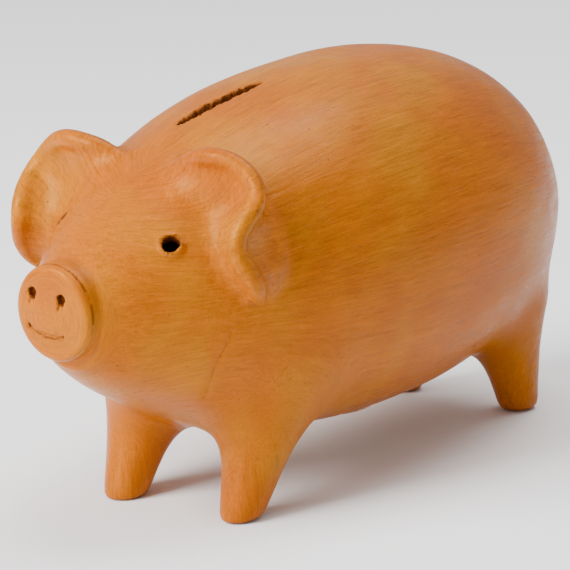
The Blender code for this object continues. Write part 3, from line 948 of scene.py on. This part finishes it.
class Shader:
    """A material's node graph, with a short call for each kind of node."""

    def __init__(self, name):
        self.material = bpy.data.materials.new(name)
        self.material.use_nodes = True
        self.tree = self.material.node_tree
        self.surface = self.tree.nodes["Principled BSDF"]

    def put(self, socket, value):
        if isinstance(value, bpy.types.NodeSocket):
            self.tree.links.new(value, socket)
        else:
            socket.default_value = value

    def look(self, name, value):
        """Set, or link, an input of the surface."""
        self.put(self.surface.inputs[name], value)

    def node(self, kind, values, **settings):
        node = self.tree.nodes.new("ShaderNode" + kind)
        for key, value in settings.items():
            setattr(node, key, value)
        for key, value in values.items():
            self.put(node.inputs[key], value)
        return node

    def math(self, operation, a, b=0.0):
        return self.node("Math", {0: a, 1: b}, operation=operation).outputs[0]

    def add(self, a, b):
        return self.math("ADD", a, b)

    def minus(self, a, b):
        return self.math("SUBTRACT", a, b)

    def times(self, a, b):
        return self.math("MULTIPLY", a, b)

    def vector_math(self, operation, a, b, output="Vector"):
        return self.node("VectorMath", {0: a, 1: b}, operation=operation).outputs[output]

    def scaled(self, vector, scale):
        return self.vector_math("MULTIPLY", vector, scale)

    def noise(self, vector, scale, detail=2.0, roughness=0.5, distortion=0.0):
        values = {"Vector": vector, "Scale": scale, "Detail": detail}
        values |= {"Roughness": roughness, "Distortion": distortion}
        return self.node("TexNoise", values).outputs["Fac"]

    def span(self, value, low, high, to_low=0.0, to_high=1.0):
        """Remap a value from one span to another, clamped."""
        values = {"Value": value, "From Min": low, "From Max": high, "To Min": to_low, "To Max": to_high}
        return self.node("MapRange", values).outputs["Result"]

    def mix(self, factor, a, b, blend="MIX"):
        values = {"Factor": factor, 6: a, 7: b}
        return self.node("Mix", values, data_type="RGBA", blend_type=blend).outputs[2]

    def line(self, place, points):
        """Distance from a line through some points."""
        nearest = None
        for start, end in zip(points, points[1:]):
            run = Vector(end) - Vector(start)
            offset = self.vector_math("SUBTRACT", place, tuple(start))
            per_run = tuple(run / run.length_squared)
            along = self.span(self.vector_math("DOT_PRODUCT", offset, per_run, "Value"), 0.0, 1.0)
            values = {0: tuple(run), "Scale": along}
            on_line = self.node("VectorMath", values, operation="SCALE").outputs[0]
            gap = self.vector_math("DISTANCE", offset, on_line, "Value")
            nearest = gap if nearest is None else self.math("MINIMUM", nearest, gap)
        return nearest

    def attribute(self, name):
        return self.node("Attribute", {}, attribute_name=name).outputs["Fac"]

    def vector(self, x, y, z):
        return self.node("CombineXYZ", {0: x, 1: y, 2: z}).outputs[0]


# Colours are linear red, green, blue and alpha.
CLAY = (0.364, 0.091, 0.0003, 1)
# The red clay also serves as painted shade in creases, and the pale clay as a painted highlight on convex
# edges and along the seam behind the ear.
CLAY_RED_AND_SHADE = (0.335, 0.070, 0.0004, 1)
CLAY_OCHRE = (0.372, 0.120, 0.0010, 1)
CLAY_PALE_AND_HIGHLIGHT = (0.480, 0.165, 0.010, 1)
CLAY_DARK = (0.150, 0.034, 0.0018, 1)
CLAY_RAW = (0.290, 0.078, 0.014, 1)
CLAY_RAW_DARK = (0.085, 0.018, 0.004, 1)


def shifted(points):
    """Places in the pig's frame, moved to the CAD model's."""
    return [Vector(point) + SHIFT for point in points]


def clay_material(name):
    """Burnished earthenware: lengthwise pebble strokes over orange, red and ochre patches, with painted
    shade in creases and painted highlights on convex edges and the ear seam.
    """
    sh = Shader(name)
    place = sh.node("TexCoord", {}).outputs["Object"]
    brush = sh.vector(*(sh.attribute("brush_" + axis) for axis in "xyz"))
    ear_part, raw, hollow = (sh.attribute(mask) for mask in MASKS[:3])

    fine = sh.noise(sh.scaled(brush, (1.0, 1.2, 1.0)), 1700, 3.0, 0.72)
    stroke = sh.noise(sh.scaled(brush, (1.0, 1.5, 1.0)), 700, 2.0, 0.6)
    band = sh.noise(brush, 250, 1.5)
    crossing = sh.noise(sh.scaled(place, (1.0, 0.18, 0.30)), 1000, 2.0, 0.65, 0.5)
    grain = sh.noise(place, 1500, 3.0, 0.75)
    patch = sh.noise(place, 26, 2.0, 0.55, 0.6)
    patch_small = sh.noise(place, 95, 2.5, 0.6)
    patch_other = sh.noise(sh.vector_math("ADD", place, (0.3, 0.7, 0.1)), 34, 2.0)

    colour = sh.mix(sh.span(patch, 0.42, 0.66), CLAY, CLAY_OCHRE)
    red_part = sh.times(sh.span(patch_other, 0.47, 0.68), 0.75)
    colour = sh.mix(red_part, colour, CLAY_RED_AND_SHADE)
    colour = sh.mix(sh.span(patch_small, 0.5, 0.75, 0.0, 0.22), colour, CLAY_RED_AND_SHADE)
    # Painted shade: concave places, where shade falls, are mixed toward the darker red clay.
    colour = sh.mix(sh.span(hollow, 0.06, 0.75, 0.0, 0.85), colour, CLAY_RED_AND_SHADE)
    # Painted highlight: convex edges are mixed toward the pale clay.
    colour = sh.mix(sh.span(hollow, -0.10, -0.55, 0.0, 0.25), colour, CLAY_PALE_AND_HIGHLIGHT)

    streak = sh.span(fine, 0.35, 0.75, -0.14, 0.24)
    streak = sh.add(streak, sh.span(stroke, 0.3, 0.7, -0.07, 0.07))
    streak = sh.add(streak, sh.span(band, 0.3, 0.7, -0.035, 0.035))
    cross_part = sh.times(ear_part, sh.span(crossing, 0.3, 0.7, -0.13, 0.13))
    streak = sh.add(streak, cross_part)
    streak = sh.add(streak, sh.span(grain, 0.3, 0.7, -0.13, 0.13))
    shade = sh.add(streak, 1.0)
    grey = sh.node("CombineColor", {0: shade, 1: shade, 2: shade}).outputs[0]
    colour = sh.mix(1.0, colour, grey, "MULTIPLY")

    scratch_at = sh.noise(sh.scaled(brush, (1.0, 1.6, 1.0)), 700, 0.0, 0.5, 0.3)
    off_line = sh.math("ABSOLUTE", sh.minus(scratch_at, 0.5))
    scratch = sh.times(sh.span(off_line, 0.012, 0.0), sh.span(patch_small, 0.48, 0.62))
    colour = sh.mix(sh.times(scratch, 0.16), colour, CLAY_PALE_AND_HIGHLIGHT)

    cells = sh.node("TexVoronoi", {"Vector": place, "Scale": 330.0})
    rare = sh.span(sh.node("SeparateColor", {0: cells.outputs["Color"]}).outputs[0], 0.80, 0.88)
    pit = sh.times(sh.span(cells.outputs["Distance"], 0.11, 0.05), rare)
    colour = sh.mix(sh.times(pit, 0.7), colour, CLAY_DARK)

    # The broken scratch down the neck, and a painted highlight along the raised seam behind the ear.
    wander = sh.noise(place, 420, 2.0)
    torn = sh.span(wander, 0.38, 0.52)
    neck_gap = sh.line(place, shifted(CREASE))
    neck_gap = sh.add(neck_gap, sh.span(wander, 0.3, 0.7, 0.0, 0.0007))
    neck = sh.times(sh.span(neck_gap, 0.0007, 0.0004), torn)
    colour = sh.mix(sh.times(neck, 0.75), colour, CLAY_DARK)
    seam_gap = sh.line(place, shifted(EAR_SEAM))
    seam_gap = sh.add(seam_gap, sh.span(wander, 0.3, 0.7, -0.0003, 0.0003))
    # Painted highlight: a pale line along the ridge of the seam.
    seam_highlight = sh.span(seam_gap, 0.0007, 0.0002)
    colour = sh.mix(sh.times(seam_highlight, 0.45), colour, CLAY_PALE_AND_HIGHLIGHT)

    # The dark crack between the snout's pad and its collar, on the upper left of the snout.
    from_nose = sh.vector_math("SUBTRACT", place, tuple(SNOUT_CENTRE + SHIFT))
    ring = sh.scaled(from_nose, (1, 0, 1))
    across = sh.node("VectorMath", {0: ring}, operation="LENGTH").outputs["Value"]
    edge_gap = sh.math("ABSOLUTE", sh.minus(across, SNOUT_RADIUS - 0.0004))
    at_edge = sh.span(edge_gap, 0.0009, 0.0006)
    depth = sh.node("SeparateXYZ", {0: place}).outputs[1]
    depth_gap = sh.math("ABSOLUTE", sh.minus(depth, SNOUT_LOW.y + 0.0031))
    crack = sh.times(sh.span(depth_gap, 0.0006, 0.0002), at_edge)
    upper_left = sh.vector_math("DOT_PRODUCT", from_nose, (0.55, 0, 0.84), "Value")
    broken = sh.times(sh.span(upper_left, 0.002, 0.008), torn)
    crack = sh.times(crack, broken)
    colour = sh.mix(sh.times(crack, 0.8), colour, CLAY_DARK)

    raw_colour = sh.mix(sh.span(grain, 0.35, 0.65), CLAY_RAW_DARK, CLAY_RAW)
    colour = sh.mix(raw, colour, raw_colour)
    sh.look("Base Color", colour)

    gloss = sh.span(stroke, 0.3, 0.7, 0.25, 0.38)
    gloss = sh.add(gloss, sh.span(fine, 0.3, 0.7, -0.04, 0.05))
    gloss = sh.add(gloss, sh.span(patch_small, 0.35, 0.7, -0.03, 0.08))
    rough = sh.math("MAXIMUM", gloss, sh.times(raw, 0.95))
    sh.look("Roughness", rough)
    sh.look("Specular IOR Level", 0.29)
    sh.look("Specular Tint", (1.0, 0.52, 0.14, 1))

    height = sh.times(fine, 0.35)
    layers = (
        (stroke, 0.55),
        (band, 0.7),
        (grain, 0.25),
        (sh.times(ear_part, crossing), 0.5),
        (pit, -0.9),
        (scratch, -0.25),
        (sh.math("MAXIMUM", neck, crack), -1.2),
        (sh.times(raw, grain), 3.0),
    )
    for layer, weight in layers:
        height = sh.add(height, sh.times(layer, weight))
    bump = sh.node("Bump", {"Strength": 1.0, "Distance": 0.00020, "Height": height})
    sh.look("Normal", bump.outputs["Normal"])
    return sh.material


CORK = (0.430, 0.230, 0.095, 1)
CORK_PALE = (0.560, 0.340, 0.170, 1)
CORK_PORE = (0.120, 0.050, 0.020, 1)


def cork_material():
    """Cork: pale and dark granules with short brown pores."""
    sh = Shader("cork")
    place = sh.node("TexCoord", {}).outputs["Object"]
    cells = sh.node("TexVoronoi", {"Vector": place, "Scale": 620.0})
    granule = sh.node("SeparateColor", {0: cells.outputs["Color"]}).outputs[0]
    colour = sh.mix(granule, CORK, CORK_PALE)
    pore = sh.span(sh.noise(sh.scaled(place, (1.0, 1.0, 3.0)), 420, 3.0, 0.6), 0.60, 0.68)
    colour = sh.mix(pore, colour, CORK_PORE)
    sh.look("Base Color", colour)
    sh.look("Roughness", 0.88)
    sh.look("Specular IOR Level", 0.25)
    height = sh.minus(sh.noise(place, 1400, 3.0), sh.times(pore, 1.4))
    bump = sh.node("Bump", {"Strength": 0.7, "Distance": 0.0003, "Height": height})
    sh.look("Normal", bump.outputs["Normal"])
    return sh.material


STOPPER_SEGMENTS = 96
STOPPER_CHAMFER = 0.0007


def build_stopper(material):
    """The tapered cork, wider at its lower end, with rolled edges and a few chipped spots."""
    low, high = STOPPER_LOW, STOPPER_HIGH
    wide = (high.x - low.x) / 2
    narrow = wide - 0.0016
    profile = [(wide * k / 6, 0.0) for k in range(1, 6)]
    profile += [(wide - STOPPER_CHAMFER, 0.0), (wide - STOPPER_CHAMFER * 0.3, 0.0002)]
    profile.append((wide - 0.00002, STOPPER_CHAMFER))
    length = high.z - low.z
    straight = length - 2 * STOPPER_CHAMFER
    for k in range(1, 10):
        profile.append((wide + (narrow - wide) * k / 10, STOPPER_CHAMFER + straight * k / 10))
    profile += [(narrow, length - STOPPER_CHAMFER), (narrow - STOPPER_CHAMFER, length)]
    profile += [(narrow * k / 6, length) for k in range(5, 0, -1)]
    count = STOPPER_SEGMENTS
    turn = 2 * math.pi * np.arange(count) / count
    verts = [(0.0, 0.0, 0.0)]
    for row, (r, z) in enumerate(profile):
        chip = np.clip(value_noise(turn * 9 + row * 5.3, 11) - 0.55, 0, 1) * 0.0005
        reach = r - (chip if r > narrow * 0.9 else 0.0)
        verts += list(zip(reach * np.cos(turn), reach * np.sin(turn), np.full(count, z)))
    verts.append((0.0, 0.0, length))
    faces = [(0, 1 + (k + 1) % count, 1 + k) for k in range(count)]
    for row in range(len(profile) - 1):
        a = 1 + row * count
        b = a + count
        faces += [(a + k, a + (k + 1) % count, b + (k + 1) % count, b + k) for k in range(count)]
    last = 1 + (len(profile) - 1) * count
    faces += [(len(verts) - 1, last + k, last + (k + 1) % count) for k in range(count)]
    mesh = bpy.data.meshes.new("belly_stopper_cork")
    mesh.from_pydata([tuple(map(float, v)) for v in verts], [], faces)
    mesh.polygons.foreach_set("use_smooth", [True] * len(faces))
    mesh.materials.append(material)
    obj = bpy.data.objects.new("belly_stopper_cork", mesh)
    obj.location = ((low.x + high.x) / 2, (low.y + high.y) / 2, low.z)
    bpy.context.scene.collection.objects.link(obj)
    return obj


def build_clay():
    """Mesh the pig, split it into its pieces, and close each one."""
    xs, ys, zs = grid_lines()
    field = sample(xs, ys, zs)
    verts, quads = surface_nets(xs, ys, zs, field)
    verts = settle(verts)
    tris = triangles(verts, quads)
    normals = vertex_normals(verts, tris)
    data = np.concatenate([verts, normals, masks(verts, normals)], axis=1)
    skin = Skin(data, tris)
    skin, _ = largest(skin)
    pieces = {}
    for name in ("ear_left", "ear_right"):
        p = skin.data[:, :3]
        near = ear(p if name == "ear_left" else mirrored(p)) - 0.010
        skin = take(skin, np.maximum(EAR_CUT - egg(p), near), name, pieces)
    for name in LEGS:
        p = skin.data[:, :3]
        skin = take(skin, np.maximum(LEG_CUT - egg(p), leg(p, name) - 0.010), name, pieces)
    p = skin.data[:, :3]
    skin = take(skin, np.maximum(TAIL_CUT - egg(p), tail_coil(p) - 0.004), "tail", pieces)
    value = skin.data[:, 1] - SNOUT_BACK
    skin = take(skin, value, "snout_disc", pieces)
    station = egg_frame(skin.data[:, :3])[0]
    head, body = split(skin, station - NECK_STATION)
    faces = cap(head)
    pieces["head_shell"] = closed(head, faces)
    pieces["body_shell"] = closed(body, faces[:, ::-1])
    return pieces


def take(skin, value, name, pieces):
    """Split one piece off the outer skin, close it, and close the hole it leaves."""
    inner = egg(skin.data[:, :3]) < -WALL / 2
    value = np.where(inner, 1.0, value)
    piece, rest = split(skin, value)
    piece, crumbs = largest(piece)
    if len(crumbs.tris):
        tris = np.concatenate([rest.tris, crumbs.tris])
        rest = Skin(rest.data, tris, np.concatenate([rest.caps, crumbs.caps]))
    faces = cap(piece)
    pieces[name] = closed(piece, faces)
    return closed(rest, faces[:, ::-1])


CAMERA_AZIMUTH = math.radians(40.86)
CAMERA_ELEVATION = math.radians(13.81)
CAMERA_ROLL = math.radians(-3.077)
CAMERA_DISTANCE = 1.15
CAMERA_LENS = 228.5
CAMERA_TARGET = Vector((0.0, 0.00026, 0.05923))


def place_camera():
    """The photographer's view: from the left front, a little above, tilted a few degrees."""
    back = Vector(
        (
            math.sin(CAMERA_AZIMUTH) * math.cos(CAMERA_ELEVATION),
            -math.cos(CAMERA_AZIMUTH) * math.cos(CAMERA_ELEVATION),
            math.sin(CAMERA_ELEVATION),
        )
    )
    right = Vector((math.cos(CAMERA_AZIMUTH), math.sin(CAMERA_AZIMUTH), 0.0))
    up = back.cross(right)
    turned_right = math.cos(CAMERA_ROLL) * right + math.sin(CAMERA_ROLL) * up
    turned_up = math.cos(CAMERA_ROLL) * up - math.sin(CAMERA_ROLL) * right
    camera = bpy.data.objects.new("camera", bpy.data.cameras.new("camera"))
    camera.data.lens = CAMERA_LENS
    matrix = Matrix((turned_right, turned_up, back)).transposed().to_4x4()
    matrix.translation = CAMERA_TARGET + SHIFT + CAMERA_DISTANCE * back
    camera.matrix_world = matrix
    bpy.context.scene.collection.objects.link(camera)
    bpy.context.scene.camera = camera


# Soft boxes: name, where from (a direction), distance, size, and strength at the pig.
SOFT_BOXES = (
    ("key", Vector((-0.34, -0.80, 0.62)), 1.7, 1.0, 2.2),
    ("top", Vector((0.10, 0.25, 1.0)), 1.6, 1.1, 1.10),
    ("low", Vector((-0.15, -1.0, 0.10)), 1.5, 0.9, 0.60),
)
AMBIENT = 0.56


def light_set():
    """Soft boxes and an even white surround."""
    target = CAMERA_TARGET + SHIFT
    for name, direction, distance, size, strength in SOFT_BOXES:
        light = bpy.data.lights.new(name, "AREA")
        light.energy = strength * math.pi**2 * distance**2
        light.size = size
        obj = bpy.data.objects.new(name, light)
        towards = direction.normalized()
        obj.location = target + towards * distance
        obj.rotation_mode = "QUATERNION"
        obj.rotation_quaternion = towards.to_track_quat("Z", "Y")
        bpy.context.scene.collection.objects.link(obj)
    world = bpy.data.worlds.new("surround")
    bpy.context.scene.world = world
    world.use_nodes = True
    world.node_tree.nodes["Background"].inputs["Color"].default_value = (1, 1, 1, 1)
    world.node_tree.nodes["Background"].inputs["Strength"].default_value = AMBIENT


def lay_floor():
    """A plain white floor."""
    bpy.ops.mesh.primitive_plane_add(size=12)
    floor = bpy.context.object
    floor.name = "floor"
    sh = Shader("white paper")
    sh.look("Base Color", (0.86, 0.86, 0.86, 1))
    sh.look("Roughness", 0.9)
    sh.look("Specular IOR Level", 0.1)
    floor.data.materials.append(sh.material)


if __name__ == "__main__":
    clay = clay_material("burnished clay")
    snout_clay = clay_material("snout clay")
    for piece_name, piece_skin in build_clay().items():
        on_snout = piece_name == "snout_disc"
        obj = build_object(piece_name + "_clay", piece_skin, snout_clay if on_snout else clay)
        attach(obj, "bank")
        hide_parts(piece_name)
    cork = build_stopper(cork_material())
    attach(cork, "stopper")
    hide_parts("belly_stopper")
    place_camera()
    light_set()
    lay_floor()
